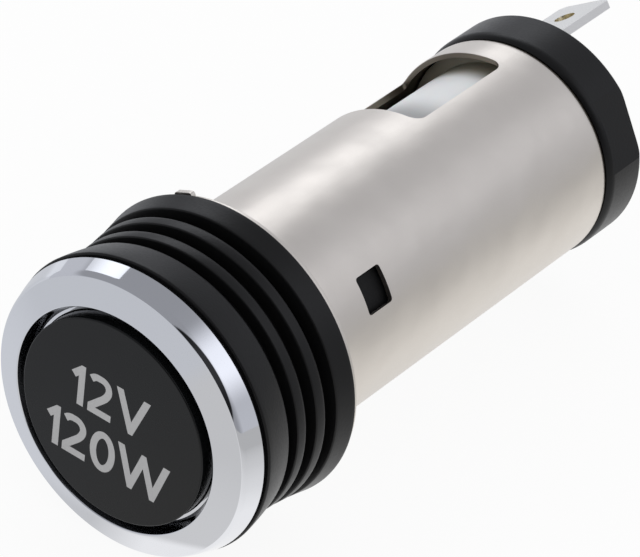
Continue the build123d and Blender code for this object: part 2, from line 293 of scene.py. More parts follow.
# %% Lug on the flange
LUG_ROOT_R, LUG_TIP_R, LUG_SIDE, LUG_ANGLE = 11.0, 14.75, 1.0, 114.6
STAMPED_ROUND = 0.3


def lug_corner(middle, part):
    return middle.x > LUG_TIP_R - NEAR and abs(abs(middle.z) - LUG_SIDE) < NEAR


lug = block("lug", (LUG_ROOT_R, FLANGE_FRONT, -LUG_SIDE), (LUG_TIP_R, 0, LUG_SIDE))
pick(lug, "edge", lug_corner)
bevel(STAMPED_ROUND, 4)
clock(lug, LUG_ANGLE)
combine(barrel, lug, "UNION")
print("lug at", LUG_ANGLE, "degrees")

# %% Latch windows and side slot
SOCKET_ANGLE = 35.2
WINDOW_FRONT, WINDOW_BACK, WINDOW_SIDE = 6.75, 10.05, 1.8
WINDOW_IN, WINDOW_OUT = 8, 14
SLOT_FRONT, SLOT_BACK, SLOT_SIDE = 26, 39.3, 6.5
SLOT_IN, SLOT_OUT = 3, 16
SLOT_ROUND, SLOT_SMALL_ROUND = 1.1, 0.4
for angle in (SOCKET_ANGLE, SOCKET_ANGLE + 180):
    window = block(
        "window_punch", (WINDOW_IN, WINDOW_FRONT, -WINDOW_SIDE), (WINDOW_OUT, WINDOW_BACK, WINDOW_SIDE))
    pick(window, "edge", lambda middle, part: abs(middle.x - (WINDOW_IN + WINDOW_OUT) / 2) < NEAR)
    bevel(STAMPED_ROUND, 4)
    clock(window, angle)
    combine(barrel, window, "DIFFERENCE")

slot_punch = block("slot_punch", (SLOT_IN, SLOT_FRONT, -SLOT_SIDE), (SLOT_OUT, SLOT_BACK, SLOT_SIDE))
round_upright(slot_punch, SLOT_BACK, SLOT_SIDE, SLOT_SMALL_ROUND, 5)
for y, z in ((SLOT_BACK, -SLOT_SIDE), (SLOT_FRONT, SLOT_SIDE), (SLOT_FRONT, -SLOT_SIDE)):
    round_upright(slot_punch, y, z, SLOT_ROUND, 8)
clock(slot_punch, SOCKET_ANGLE + 90)
combine(barrel, slot_punch, "DIFFERENCE")
settle(barrel, "barrel", "socket")

# %% [markdown]
# ## Contact holder and contacts
# Behind the slot sits a cup of natural nylon that carries the centre contact. The dished contact and the
# hollow rivet that clamps the stack are small turned parts, so the lathe makes them too. A split in the
# spring washer is one cut across its rim.

# %% Contact holder
BLADE_THICKNESS = 0.8
PLATE_BACK = END_BACK + BLADE_THICKNESS
CUP_BORE_R, CUP_R, CUP_FOOT_R, SPIGOT_R, STACK_HOLE_R = 8.35, 9.35, 10.6, 3.9, 1.65
CUP_MOUTH, CUP_FOOT, CUP_FLOOR = 24, 41.4, 41.5
FOOT_EDGE, FOOT_CHAMFER = 0.5, 1.1
holder = turned(
    "holder_cup",
    [(CUP_BORE_R, CUP_MOUTH), (CUP_R, CUP_MOUTH), (CUP_R, CUP_FOOT), (CUP_FOOT_R, CUP_FOOT),
     (CUP_FOOT_R, CUP_FOOT + FOOT_EDGE), (CUP_FOOT_R - FOOT_CHAMFER, END_FRONT), (SPIGOT_R, END_FRONT),
     (SPIGOT_R, PLATE_BACK), (STACK_HOLE_R, PLATE_BACK), (STACK_HOLE_R, CUP_FLOOR), (CUP_BORE_R, CUP_FLOOR)],
    [((CUP_BORE_R, CUP_MOUTH), 0.2), ((CUP_R, CUP_MOUTH), 0.3), ((CUP_FOOT_R, CUP_FOOT), 0.15),
     ((CUP_BORE_R, CUP_FLOOR), 0.8)])
settle(holder, "contact_holder", "socket")

# %% Contact, rivet and washer
DISH_THICKNESS, DISH_RISE, DISH_FLAT_R, DISH_R = 0.5, 0.9, 3.2, 6.2
DISH_EDGE, DISH_BEND = 0.15, 0.4
DISH_FRONT = CUP_FLOOR - DISH_THICKNESS
contact = turned(
    "contact_dish",
    [(STACK_HOLE_R, DISH_FRONT), (DISH_FLAT_R, DISH_FRONT), (DISH_R, DISH_FRONT - DISH_RISE),
     (DISH_R, CUP_FLOOR - DISH_RISE), (DISH_FLAT_R, CUP_FLOOR), (STACK_HOLE_R, CUP_FLOOR)],
    [((DISH_R, DISH_FRONT - DISH_RISE), DISH_EDGE), ((DISH_R, CUP_FLOOR - DISH_RISE), DISH_EDGE),
     ((DISH_FLAT_R, DISH_FRONT), DISH_BEND), ((DISH_FLAT_R, CUP_FLOOR), DISH_BEND)])
settle(contact, "centre_contact", "socket")

CAP_FLOOR = 45.9
WASHER_FRONT, WASHER_BACK, WASHER_R, WASHER_EDGE = CAP_FLOOR + BLADE_THICKNESS, 47.1, 2.6, 0.06
RIVET_BORE_R, RIVET_R, HEAD_R, HEAD_HEIGHT = 0.8, 1.6, 2.5, 0.7
HEAD_ROUND, RIVET_MOUTH_ROUND = 0.35, 0.3
RIVET_FRONT, RIVET_BACK = DISH_FRONT - HEAD_HEIGHT, WASHER_BACK + HEAD_HEIGHT
rivet = turned(
    "hollow_rivet",
    [(RIVET_BORE_R, RIVET_FRONT), (HEAD_R, RIVET_FRONT), (HEAD_R, DISH_FRONT), (RIVET_R, DISH_FRONT),
     (RIVET_R, WASHER_BACK), (HEAD_R, WASHER_BACK), (HEAD_R, RIVET_BACK), (RIVET_BORE_R, RIVET_BACK)],
    [((HEAD_R, RIVET_FRONT), HEAD_ROUND), ((HEAD_R, RIVET_BACK), HEAD_ROUND),
     ((RIVET_BORE_R, RIVET_FRONT), RIVET_MOUTH_ROUND), ((RIVET_BORE_R, RIVET_BACK), RIVET_MOUTH_ROUND)])
settle(rivet, "contact_rivet", "socket")

WASHER_SPLIT, SPLIT_OUT, SPLIT_FRONT, SPLIT_BACK = 0.5, 4, 46, 48
washer = turned(
    "split_washer",
    [(STACK_HOLE_R, WASHER_FRONT), (WASHER_R, WASHER_FRONT), (WASHER_R, WASHER_BACK),
     (STACK_HOLE_R, WASHER_BACK)],
    [((WASHER_R, WASHER_FRONT), WASHER_EDGE), ((WASHER_R, WASHER_BACK), WASHER_EDGE)])
split = block(
    "washer_split", (0, SPLIT_FRONT, -WASHER_SPLIT / 2), (SPLIT_OUT, SPLIT_BACK, WASHER_SPLIT / 2))
combine(washer, split, "DIFFERENCE")
settle(washer, "spring_washer", "socket")

# %% [markdown]
# ## Blade terminals
# The two blades are stamped from flat strip and bent once through a right angle. The bend is drawn as an
# L with two rounded corners, filled, and extruded to the strip's width. The tip's corners are chamfered
# for the connector, a hole is punched, and the foot is welded to its ring.

# %% Blade strip
BLADE_WIDTH, TIP_CHAMFER, BLADE_EDGE = 6.3, 0.6, 0.06
BEND_OUTER, BEND_INNER = 1.1, 0.3
HOLE_R, HOLE_FROM_TIP, HOLE_DEPTH = 1.05, 3.7, 6


def bent_blade(name, inner, outer, foot, tip):
    """A strip that runs out from the inner to the outer radius at the foot's plane, then back to its tip."""
    face = outer - BLADE_THICKNESS
    top = foot + BLADE_THICKNESS
    piece = draw_section(
        name, [(inner, foot), (outer, foot), (outer, tip), (face, tip), (face, top), (inner, top)])
    round_corner(piece, (outer, foot), BEND_OUTER, 8)
    round_corner(piece, (face, top), BEND_INNER, 5)
    bpy.ops.mesh.select_all(action="SELECT")
    bpy.ops.mesh.edge_face_add()
    bpy.ops.transform.translate(value=(0, 0, -BLADE_WIDTH / 2 * MM))
    extrude(0, 0, BLADE_WIDTH)
    face_outwards()

    def tip_corner(middle, part):
        return abs(middle.y - tip) < NEAR and abs(abs(middle.z) - BLADE_WIDTH / 2) < NEAR
    pick(piece, "edge", tip_corner)
    bevel(TIP_CHAMFER, 1)
    middle = (outer - BLADE_THICKNESS / 2, tip - HOLE_FROM_TIP, 0)
    drill(piece, HOLE_R, HOLE_DEPTH, middle, (0, pi / 2, 0), 48)
    return piece


# %% Ground blade
GROUND_R, GROUND_TIP, GROUND_SHIFT, GROUND_ANGLE = 7.84, 59.85, -0.5, SOCKET_ANGLE + 90
PLATE_BORE_R, PLATE_R = 4.1, 7
ground = bent_blade("ground_blade", (PLATE_BORE_R + PLATE_R) / 2, GROUND_R, END_BACK, GROUND_TIP)
ground.location.z = GROUND_SHIFT * MM
bpy.ops.object.transform_apply(location=True, rotation=False, scale=False)
plate = turned(
    "ground_plate",
    [(PLATE_BORE_R, END_BACK), (PLATE_R, END_BACK), (PLATE_R, PLATE_BACK), (PLATE_BORE_R, PLATE_BACK)])
combine(ground, plate, "UNION")
clock(ground, GROUND_ANGLE)
break_edges(ground, BLADE_EDGE)
settle(ground, "ground_terminal", "socket")

# %% Positive blade
POSITIVE_R, POSITIVE_TIP, POSITIVE_ANGLE = 3.8, 57.05, SOCKET_ANGLE + 180
EYE_R, EYE_DEPTH = 3.15, 4
positive = bent_blade("positive_blade", STACK_HOLE_R, POSITIVE_R, CAP_FLOOR, POSITIVE_TIP)
eye = turned(
    "positive_eye",
    [(STACK_HOLE_R, CAP_FLOOR), (EYE_R, CAP_FLOOR), (EYE_R, WASHER_FRONT), (STACK_HOLE_R, WASHER_FRONT)])
combine(positive, eye, "UNION")
drill(positive, STACK_HOLE_R, EYE_DEPTH, (0, CAP_FLOOR + BLADE_THICKNESS / 2, 0), (pi / 2, 0, 0), 64)
clock(positive, POSITIVE_ANGLE)
break_edges(positive, BLADE_EDGE)
settle(positive, "positive_terminal", "socket")

# %% [markdown]
# ## Rear cap
# A black moulding closes the barrel's end and keeps the two blades apart. It is spun, and then loses two
# flats, which key it in its assembly jig, and the passage for the ground blade.

# %% Cap
CAP_R, CAP_FRONT, CAP_BACK, WELL_R, PLATE_ROOM_R = 11.475, 42.85, 48.05, 9.3, 8.75
SEAT_R, SEAT_ROUND = 9.8, 1.45
LIP_R, LIP_Y, LIP_ROUND = 10.2625, 43.75, 1.2125
seat_y = END_BACK - SEAT_ROUND
seat = arc(SEAT_R, seat_y, SEAT_ROUND, 90, degrees(asin((CAP_FRONT - seat_y) / SEAT_ROUND)), 6)
lip = arc(LIP_R, LIP_Y, LIP_ROUND, degrees(asin((CAP_FRONT - LIP_Y) / LIP_ROUND)), 0, 8)
cap = turned(
    "end_cap",
    [seat[-1]] + lip + [
        (CAP_R, CAP_BACK), (WELL_R, CAP_BACK), (WELL_R, CAP_FLOOR), (STACK_HOLE_R, CAP_FLOOR),
        (STACK_HOLE_R, PLATE_BACK), (PLATE_ROOM_R, PLATE_BACK), (PLATE_ROOM_R, END_BACK)] + seat[:-1],
    [((CAP_R, CAP_BACK), 0.4), ((WELL_R, CAP_BACK), 0.2), ((WELL_R, CAP_FLOOR), 0.3)])

# %% Flats and blade passage
FLAT_ANGLE, FLAT_R, FLAT_OUT, FLAT_BACK, FLAT_SIDE = 29.7, 10.9, 24, 50, 12
PASSAGE_FRONT, PASSAGE_BACK = 42.5, 49
PASSAGE_DEPTH_ROOM, PASSAGE_SIDE_ROOM = 0.5, 0.2
for angle in (FLAT_ANGLE, FLAT_ANGLE + 180):
    flat = block("flat_cutter", (FLAT_R, END_BACK, -FLAT_SIDE), (FLAT_OUT, FLAT_BACK, FLAT_SIDE))
    clock(flat, angle)
    combine(cap, flat, "DIFFERENCE")
side = BLADE_WIDTH / 2 + PASSAGE_SIDE_ROOM
passage = block(
    "passage_cutter",
    (GROUND_R - BLADE_THICKNESS - PASSAGE_DEPTH_ROOM, PASSAGE_FRONT, GROUND_SHIFT - side),
    (GROUND_R + PASSAGE_DEPTH_ROOM, PASSAGE_BACK, GROUND_SHIFT + side))
clock(passage, GROUND_ANGLE)
combine(cap, passage, "DIFFERENCE")
settle(cap, "rear_cap", "socket")

# %% [markdown]
# ## Cover plug
# The plug's core and hollow shank are one moulding, with a window on each side for its leaf spring. The
# springs are bent from strip: the middle line is drawn, its corners are rounded, it is extruded to its
# width and thickened. The second spring is a copy of the first, turned half way round.

# %% Core and shank
CORE_FRONT, CORE_FLOOR, COLLAR_FRONT, HEAD_BACK = -13.6, -12, -2.05, -0.55
CORE_R, COLLAR_R, PEG_HOLE_R = 11.6, 12.6, 2.05
SHANK_R, SHANK_BORE_R, SHANK_END, NOSE_CHAMFER = 10.4, 8.9, 20, 0.8
NOSE_R, NOSE_START = SHANK_R - NOSE_CHAMFER, SHANK_END - NOSE_CHAMFER
core = turned(
    "plug_core",
    [(PEG_HOLE_R, CORE_FRONT), (CORE_R, CORE_FRONT), (CORE_R, COLLAR_FRONT), (COLLAR_R, COLLAR_FRONT),
     (COLLAR_R, HEAD_BACK), (SHANK_R, HEAD_BACK), (SHANK_R, NOSE_START), (NOSE_R, SHANK_END),
     (SHANK_BORE_R, SHANK_END), (SHANK_BORE_R, CORE_FLOOR), (PEG_HOLE_R, CORE_FLOOR)],
    [((NOSE_R, SHANK_END), 0.2), ((SHANK_BORE_R, SHANK_END), 0.2), ((SHANK_R, NOSE_START), 0.5),
     ((SHANK_BORE_R, CORE_FLOOR), 0.6)])

SPRING_Y = 10
SPRING_WINDOW, SPRING_WINDOW_SIDE = 5.6, 2
SPRING_WINDOW_IN, SPRING_WINDOW_OUT = 6, 13
for angle in (0, 180):
    window = block(
        "spring_window", (SPRING_WINDOW_IN, SPRING_Y - SPRING_WINDOW, -SPRING_WINDOW_SIDE),
        (SPRING_WINDOW_OUT, SPRING_Y + SPRING_WINDOW, SPRING_WINDOW_SIDE))
    clock(window, angle)
    combine(core, window, "DIFFERENCE")
settle(core, "plug_body", "cover_plug")

# %% Leaf springs
FOOT_R, CREST_R = 8.465, 10.307
FOOT_REACH, SLOPE_REACH, CREST_REACH = 7, 5.4, 2
SPRING_WIDTH, SPRING_THICKNESS, SPRING_BEND, SPRING_EDGE = 3.6, 0.4, 0.4, 0.04
rise = [(FOOT_R, FOOT_REACH), (FOOT_R, SLOPE_REACH), (CREST_R, CREST_REACH)]
line = [(radius, SPRING_Y - reach, -SPRING_WIDTH / 2) for radius, reach in rise]
line += [(radius, SPRING_Y + reach, -SPRING_WIDTH / 2) for radius, reach in reversed(rise)]
spring = draw_line("leaf_spring_right", line)
for point in line[1:-1]:
    pick(spring, "vert", close_to(*point))
    bevel(SPRING_BEND, 6, "VERTICES")
bpy.ops.mesh.select_all(action="SELECT")
extrude(0, 0, SPRING_WIDTH)
face_outwards()
apply_modifier(spring, "SOLIDIFY", thickness=SPRING_THICKNESS * MM, offset=0)
break_edges(spring, SPRING_EDGE)
bpy.ops.object.duplicate(linked=False)
other_spring = bpy.context.object
other_spring.name = "leaf_spring_left"
clock(other_spring, 180)
settle(spring, "plug_spring_right", "cover_plug")
settle(other_spring, "plug_spring_left", "cover_plug")

# %% [markdown]
# ## Grip, trim ring and face
# The grip is a waisted sleeve with three grooves for the fingers. Its outer line is a crowned band in
# front and a hollow flare behind, and a parabola through three points draws each. The bright ring has a
# sloping front and a drafted side with a curved shoulder between them. Its hole narrows to a ledge, which
# shows as a bright sliver at two places in the dark gap round the face disc.

# %% Outer line of the grip
GRIP_FRONT, BAND_FRONT, WAIST_Y = -12.75, -12.25, -8.55
BAND_R, BAND_MIDDLE_R, WAIST_R, FLARE_MIDDLE_R, FLARE_R = 14.4, 14.11, 13.7, 14.0, 14.7


def bowed(start, middle, end, y):
    """Radius at y on the parabola through three (radius, y) points."""
    total = 0.0
    points = (start, middle, end)
    for i, (radius, at) in enumerate(points):
        share = radius
        for j, (other_radius, other) in enumerate(points):
            if i != j:
                share *= (y - other) / (at - other)
        total += share
    return total


def band(y):
    middle = (BAND_MIDDLE_R, (BAND_FRONT + WAIST_Y) / 2)
    return (bowed((BAND_R, BAND_FRONT), middle, (WAIST_R, WAIST_Y), y), y)


def flare(y):
    middle = (FLARE_MIDDLE_R, (WAIST_Y + HEAD_BACK) / 2)
    return (bowed((WAIST_R, WAIST_Y), middle, (FLARE_R, HEAD_BACK), y), y)


# %% Grip
GROOVES, GROOVE_PITCH, GROOVE_WIDTH, GROOVE_FLOOR_R = 3, 2.37, 1.05, 12.5
STEP_R, SLEEVE_BORE_R, COLLAR_ROOM_R = 13.9, 11.65, 12.65
RIM, GROOVE_FRONT_RIM, GROOVE_BACK_RIM = 0.2, 0.45, 0.15
BAND_STATIONS = BAND_FRONT, -11.5, -10.75, -10, -9.25, WAIST_Y
FLARE_STATIONS = -2.3, -1.7, -1.1, HEAD_BACK
section = [(SLEEVE_BORE_R, GRIP_FRONT), (STEP_R, GRIP_FRONT), (STEP_R, BAND_FRONT)]
section += [band(y) for y in BAND_STATIONS]
rims = [((STEP_R, GRIP_FRONT), RIM), (band(BAND_FRONT), RIM), (band(WAIST_Y), GROOVE_FRONT_RIM)]
for groove in range(GROOVES):
    front = WAIST_Y + groove * GROOVE_PITCH
    back = front + GROOVE_WIDTH
    if groove:
        section += [flare(front)]
        rims += [(flare(front), GROOVE_FRONT_RIM)]
    section += [(GROOVE_FLOOR_R, front), (GROOVE_FLOOR_R, back), flare(back)]
    rims += [(flare(back), GROOVE_BACK_RIM)]
section += [flare(y) for y in FLARE_STATIONS]
rims += [(flare(HEAD_BACK), RIM)]
section += [(COLLAR_ROOM_R, HEAD_BACK), (COLLAR_ROOM_R, COLLAR_FRONT), (SLEEVE_BORE_R, COLLAR_FRONT)]
grip = turned("grip", section, rims)
settle(grip, "grip_sleeve", "cover_plug", angle=40)

# %% Trim ring and face disc
RING_LIP_R, RING_FRONT, RING_BACK_R = 10.9, -15.57, 14.2
LEDGE_R, LEDGE_FRONT, RING_HOLE_R = 10.05, -14.07, 10.3
RING_EDGE, SHOULDER_EDGE = 0.15, 0.12
SHOULDER_R, SHOULDER_Y, SHOULDER_ROUND = 12.162, -13.653, 1.654
SLOPE_ANGLE, DRAFT_ANGLE = -41.53, -18.2
shoulder = arc(SHOULDER_R, SHOULDER_Y, SHOULDER_ROUND, SLOPE_ANGLE, DRAFT_ANGLE, 8)
ring = turned(
    "bright_ring",
    [(RING_LIP_R, RING_FRONT)] + shoulder + [
        (RING_BACK_R, GRIP_FRONT), (SLEEVE_BORE_R, GRIP_FRONT), (SLEEVE_BORE_R, CORE_FRONT),
        (LEDGE_R, CORE_FRONT), (LEDGE_R, LEDGE_FRONT), (RING_HOLE_R, LEDGE_FRONT)],
    [(shoulder[0], SHOULDER_EDGE), ((RING_LIP_R, RING_FRONT), RING_EDGE)])
settle(ring, "trim_ring", "cover_plug")

FACE_Y, DISC_R, DISC_EDGE, PEG_R = -15.77, 9.95, 0.15, 2
disc = turned(
    "face",
    [(0, FACE_Y), (DISC_R, FACE_Y), (DISC_R, CORE_FRONT), (PEG_R, CORE_FRONT), (PEG_R, CORE_FLOOR),
     (0, CORE_FLOOR)],
    [((DISC_R, FACE_Y), DISC_EDGE)])
settle(disc, "face_disc", "cover_plug")

# %% [markdown]
# ## Rating on the face
# The socket's rating is printed on the disc in plain pale figures. A font would do, but its strokes are
# too thin, so each figure is drawn like a pen stroke: a line of points is extruded off the face by the
# ink's rise, thickened to the stroke's width by Solidify, and trimmed square at the lines it stands between.

# %% Pen strokes
INK_RISE = 0.012
STROKE = 0.70


def finish_stroke(piece, trims=()):
    """Raise a drawn line off the face, thicken it, and cut it at the (point, outward direction) trims."""
    bpy.ops.mesh.select_all(action="SELECT")
    extrude(0, -INK_RISE, 0)
    face_outwards()
    apply_modifier(piece, "SOLIDIFY", thickness=STROKE * MM, offset=0, use_even_offset=True)
    bpy.ops.object.mode_set(mode="EDIT")
    for (x, z), (dx, dz) in trims:
        bpy.ops.mesh.select_all(action="SELECT")
        bpy.ops.mesh.bisect(
            plane_co=(x * MM, 0, z * MM), plane_no=(dx, 0, dz), use_fill=True, clear_outer=True)
    face_outwards()
    bpy.ops.object.mode_set(mode="OBJECT")
    return piece


def pen_line(name, points, bends=(), trims=()):
    """One figure from the (x, z) points of its middle line, with (point, setback) bends rounded."""
    piece = draw_line(name, [(x, FACE_Y, z) for x, z in points])
    for (x, z), setback in bends:
        pick(piece, "vert", close_to(x, FACE_Y, z))
        bevel(setback, 10, "VERTICES")
    return finish_stroke(piece, trims)


# %% The figures
PAST_TRIM = 0.3
POINT_LIFT = 0.36


def level_trims(base, top):
    return [((0, top), (0, 1)), ((0, base), (0, -1))]


def figure_one(x, base, top):
    line = [(x - 0.92, top - 1.28), (x, top - 0.38), (x, base - PAST_TRIM)]
    return pen_line("one", line, (), level_trims(base, top))


def figure_two(left, right, base, top):
    high, low, out = top - 0.35, base + 0.34, right - 0.42
    line = [(left + 0.18, high - 0.38), (left + 0.62, high), (out, high), (out, base + 2.5),
            (left - 0.02, low), (right + PAST_TRIM, low)]
    return pen_line("two", line, [(line[1], 0.3), (line[2], 0.85), (line[3], 0.8)],
                    [((left, 0), (-1, 0)), ((right, 0), (1, 0))])


def figure_nought(left, right, base, top):
    piece = start_piece(
        "nought", bpy.ops.mesh.primitive_circle_add, vertices=72, radius=MM, rotation=(pi / 2, 0, 0))
    activate(piece)
    piece.scale = ((right - left - STROKE) / 2, (top - base - STROKE) / 2, 1)
    piece.location = ((left + right) / 2 * MM, FACE_Y * MM, (base + top) / 2 * MM)
    bpy.ops.object.transform_apply(location=True, rotation=True, scale=True)
    bpy.ops.object.mode_set(mode="EDIT")
    return finish_stroke(piece)


def letter_vee(ends, points, base, top, middle=()):
    """A V from its two ends and its point, or a W with two points and a middle tip between them."""
    low = [(x, base + POINT_LIFT) for x in points]
    high = [(x, top - POINT_LIFT) for x in middle]
    inner = [low[0]] + [place for pair in zip(high, low[1:]) for place in pair]
    line = [(ends[0], top + PAST_TRIM)] + inner + [(ends[1], top + PAST_TRIM)]
    return pen_line("vee", line, (), level_trims(base, top))


def gather(name, parts):
    """Join the figures of one line into one piece of the plug."""
    activate(parts[0])
    for part in parts:
        part.select_set(True)
    bpy.ops.object.join()
    parts[0].name = name
    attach(parts[0], "cover_plug")
    print(name, len(parts[0].data.polygons), "faces")
    return parts[0]


# %% The two lines
UPPER_LINE, LOWER_LINE = (-0.06, 4.22), (-5.70, -1.43)
volts = gather("rating_volts", [
    figure_one(-3.56, *UPPER_LINE), figure_two(-2.72, -0.14, *UPPER_LINE),
    letter_vee((0.46, 3.70), (2.08,), *UPPER_LINE)])
watts = gather("rating_watts", [
    figure_one(-5.88, *LOWER_LINE), figure_two(-5.10, -2.50, *LOWER_LINE),
    figure_nought(-2.06, 0.72, *LOWER_LINE),
    letter_vee((1.17, 6.41), (2.55, 5.03), *LOWER_LINE, (3.79,))])

# %% [markdown]
# ## Finishes
# Each finish is a small net of nodes on Object coordinates, which are the part's own metres here. One
# class wraps a socket, so that sums are written as sums.

# %% Shader wires
class Wire:
    """An output socket in a node tree. Arithmetic on it adds Math nodes."""

    def __init__(self, tree, socket=None):
        self.tree = tree
        self.socket = socket

    def node(self, kind, settings=None, sockets=None, out=0):
        """Add a node: its settings first, then values or links of its sockets, and give one output."""
        made = self.tree.nodes.new(kind)
        for key, value in (settings or {}).items():
            if key == "stops":
                ramp = made.color_ramp.elements
                while len(ramp) < len(value):
                    ramp.new(0.5)
                for element, (place, colour) in zip(ramp, value):
                    element.position = place
                    element.color = (*colour, 1)
            else:
                setattr(made, key, value)
        for key, value in (sockets or {}).items():
            self.join(made.inputs[key], value)
        return None if out is None else Wire(self.tree, made.outputs[out])

    def join(self, target, value):
        if isinstance(value, Wire):
            self.tree.links.new(value.socket, target)
        else:
            target.default_value = value

    def maths(self, operation, one, two):
        return self.node("ShaderNodeMath", {"operation": operation}, {0: one, 1: two})

    def __add__(self, other):
        return self.maths("ADD", self, other)

    def __radd__(self, other):
        return self.maths("ADD", other, self)

    def __sub__(self, other):
        return self.maths("SUBTRACT", self, other)

    def __rsub__(self, other):
        return self.maths("SUBTRACT", other, self)

    def __mul__(self, other):
        return self.maths("MULTIPLY", self, other)

    def __rmul__(self, other):
        return self.maths("MULTIPLY", other, self)


# %% Helpers for finishes
def new_finish(name):
    """An empty material, the wire that starts its nodes, and the object's own coordinates."""
    material = bpy.data.materials.new(name)
    material.use_nodes = True
    material.node_tree.nodes.clear()
    wire = Wire(material.node_tree)
    return material, wire, wire.node("ShaderNodeTexCoord", out="Object")


def show(wire, shader):
    """Join a shader to the material's output."""
    wire.node("ShaderNodeOutputMaterial", None, {"Surface": shader}, None)


def close_finish(wire, **sockets):
    """The shader and output at the end of a material's nodes."""
    named = {key.replace("_", " ").title(): value for key, value in sockets.items()}
    if "Specular Ior Level" in named:
        named["Specular IOR Level"] = named.pop("Specular Ior Level")
    show(wire, wire.node("ShaderNodeBsdfPrincipled", None, named))


def noise(wire, place, scale, detail=2.0, rough=0.5):
    return wire.node("ShaderNodeTexNoise", None, {
        "Vector": place, "Scale": scale, "Detail": detail, "Roughness": rough}, "Fac")


def stretched(wire, place, scale):
    """Coordinates scaled along the three axes, so that a noise is drawn out."""
    return wire.node("ShaderNodeMapping", None, {"Vector": place, "Scale": scale})


def along(wire, place, axis):
    """One coordinate of a place."""
    return wire.node("ShaderNodeSeparateXYZ", None, {"Vector": place}, axis)


def vector_maths(wire, operation, one, two, out):
    return wire.node("ShaderNodeVectorMath", {"operation": operation}, {0: one, 1: two}, out)


def scaled(wire, colour, level):
    return wire.node("ShaderNodeVectorMath", {"operation": "SCALE"}, {0: colour, "Scale": level})


def colour_mix(wire, share, one, two):
    """Mix of two colours, each of them a wire or three numbers."""
    one, two = (end if isinstance(end, Wire) else (*end, 1) for end in (one, two))
    return wire.node("ShaderNodeMix", {"data_type": "RGBA"}, {0: share, 6: one, 7: two}, 2)


def ramp(wire, value, low, high, first=0.0, last=1.0):
    """Smooth step of a value, from the first number at low to the last at high."""
    return wire.node("ShaderNodeMapRange", {"interpolation_type": "SMOOTHSTEP"}, {
        "Value": value, "From Min": low, "From Max": high, "To Min": first, "To Max": last})


def bumped(wire, height, strength, distance):
    return wire.node("ShaderNodeBump", None, {
        "Height": height, "Strength": strength, "Distance": distance}, "Normal")


def paint(material, *pieces):
    """Give pieces one material in their only slot."""
    for piece in pieces:
        piece.data.materials.clear()
        piece.data.materials.append(material)
    print(material.name, "on", ", ".join(p.name for p in pieces))


# %% [markdown]
# ### Nickel plate
# Dull nickel over drawn steel has a warm grey colour, a fine sandy grain, and faint lines along the
# axis, from the die. The grain goes into roughness and a very small bump; the lines are a noise that is
# stretched by a Mapping node. A coarser noise lets the wall waver a little, as thin drawn steel does.
# The inside of the barrel, from just ahead of the slot to the closed end, is painted dark brown as painted
# shade, and the sheared edges of the slot take the same dark brown.

# %% Nickel
NICKEL_TONES = (0.675, 0.63, 0.578), (0.77, 0.725, 0.668)
SHADE_BROWN = 0.24, 0.21, 0.17
BORE_SIDE_R, BORE_SIDE_BLUR = 0.01115, 0.00002
SHADE_FROM, SHADE_FULL = 0.0240, 0.0255
nickel, wire, place = new_finish("nickel_plate")
grain = noise(wire, place, 3800, 3, 0.65)
lines = noise(wire, stretched(wire, place, (1, 0.04, 1)), 2600)
cloud = noise(wire, place, 140, 3)
waver = noise(wire, place, 170, 1.5)
spokes = vector_maths(wire, "MULTIPLY", place, (1, 0, 1), "Vector")
off_axis = wire.node("ShaderNodeVectorMath", {"operation": "LENGTH"}, {0: spokes}, "Value")
# Painted shade: the bore side of the wall, from just ahead of the slot back, and the slot's sheared edges
# are dark brown.
bore_side = ramp(wire, off_axis, BORE_SIDE_R - BORE_SIDE_BLUR, BORE_SIDE_R + BORE_SIDE_BLUR, 1.0, 0.0)
inside = bore_side * ramp(wire, along(wire, place, "Y"), SHADE_FROM, SHADE_FULL)
colour = colour_mix(wire, inside, colour_mix(wire, cloud, *NICKEL_TONES), SHADE_BROWN)
rough = 0.27 + 0.12 * grain + 0.05 * lines + 0.04 * cloud
normal = bumped(wire, grain + 0.6 * lines + 36.0 * waver, 0.16, 0.00004)
close_finish(wire, base_color=colour, metallic=1.0, roughness=rough, normal=normal)
paint(nickel, barrel)

# %% [markdown]
# ### Bright plate, strip and brass
# The trim ring's plate is a near mirror, so only a trace of roughness is left, with a few soft clouds.
# The blades are tin-plated and duller, with rubbing marks across them, and their holes were punched
# after plating, so bare brass shows inside. The contact and rivet are brass too, a little browned, and
# the springs are grey strip.

# %% Chrome
CHROME = 0.79, 0.80, 0.835, 1
chrome, wire, place = new_finish("chrome_trim")
cloud = noise(wire, place, 160)
close_finish(wire, base_color=CHROME, metallic=1.0, roughness=0.03 + 0.05 * cloud)
paint(chrome, ring)

# %% Tinned blades
TIN_TONES = (0.78, 0.77, 0.75), (0.86, 0.85, 0.83)
PUNCHED_BRASS = 0.86, 0.78, 0.56
PUNCHED_FROM, PUNCHED_TO = 0.00112, 0.00114
BLADES = (
    (GROUND_R, GROUND_TIP, GROUND_SHIFT, GROUND_ANGLE),
    (POSITIVE_R, POSITIVE_TIP, 0, POSITIVE_ANGLE),
)


def hole_middle(radius, tip, shift, angle):
    """Where a clocked blade's hole lies, in metres."""
    out, turn = radius - BLADE_THICKNESS / 2, radians(angle)
    x, z = out * cos(turn) - shift * sin(turn), out * sin(turn) + shift * cos(turn)
    return x * MM, (tip - HOLE_FROM_TIP) * MM, z * MM


tin, wire, place = new_finish("tinned_brass")
rub = noise(wire, stretched(wire, place, (0.15, 1, 0.15)), 3000, 3)
cloud = noise(wire, place, 260, 3)
colour = colour_mix(wire, cloud, *TIN_TONES)
for blade in BLADES:
    off_hole = vector_maths(wire, "DISTANCE", place, hole_middle(*blade), "Value")
    colour = colour_mix(wire, ramp(wire, off_hole, PUNCHED_FROM, PUNCHED_TO), PUNCHED_BRASS, colour)
rough = 0.24 + 0.16 * rub + 0.06 * cloud
close_finish(wire, base_color=colour, metallic=1.0, roughness=rough, normal=bumped(wire, rub, 0.12, 0.00003))
paint(tin, ground, positive)

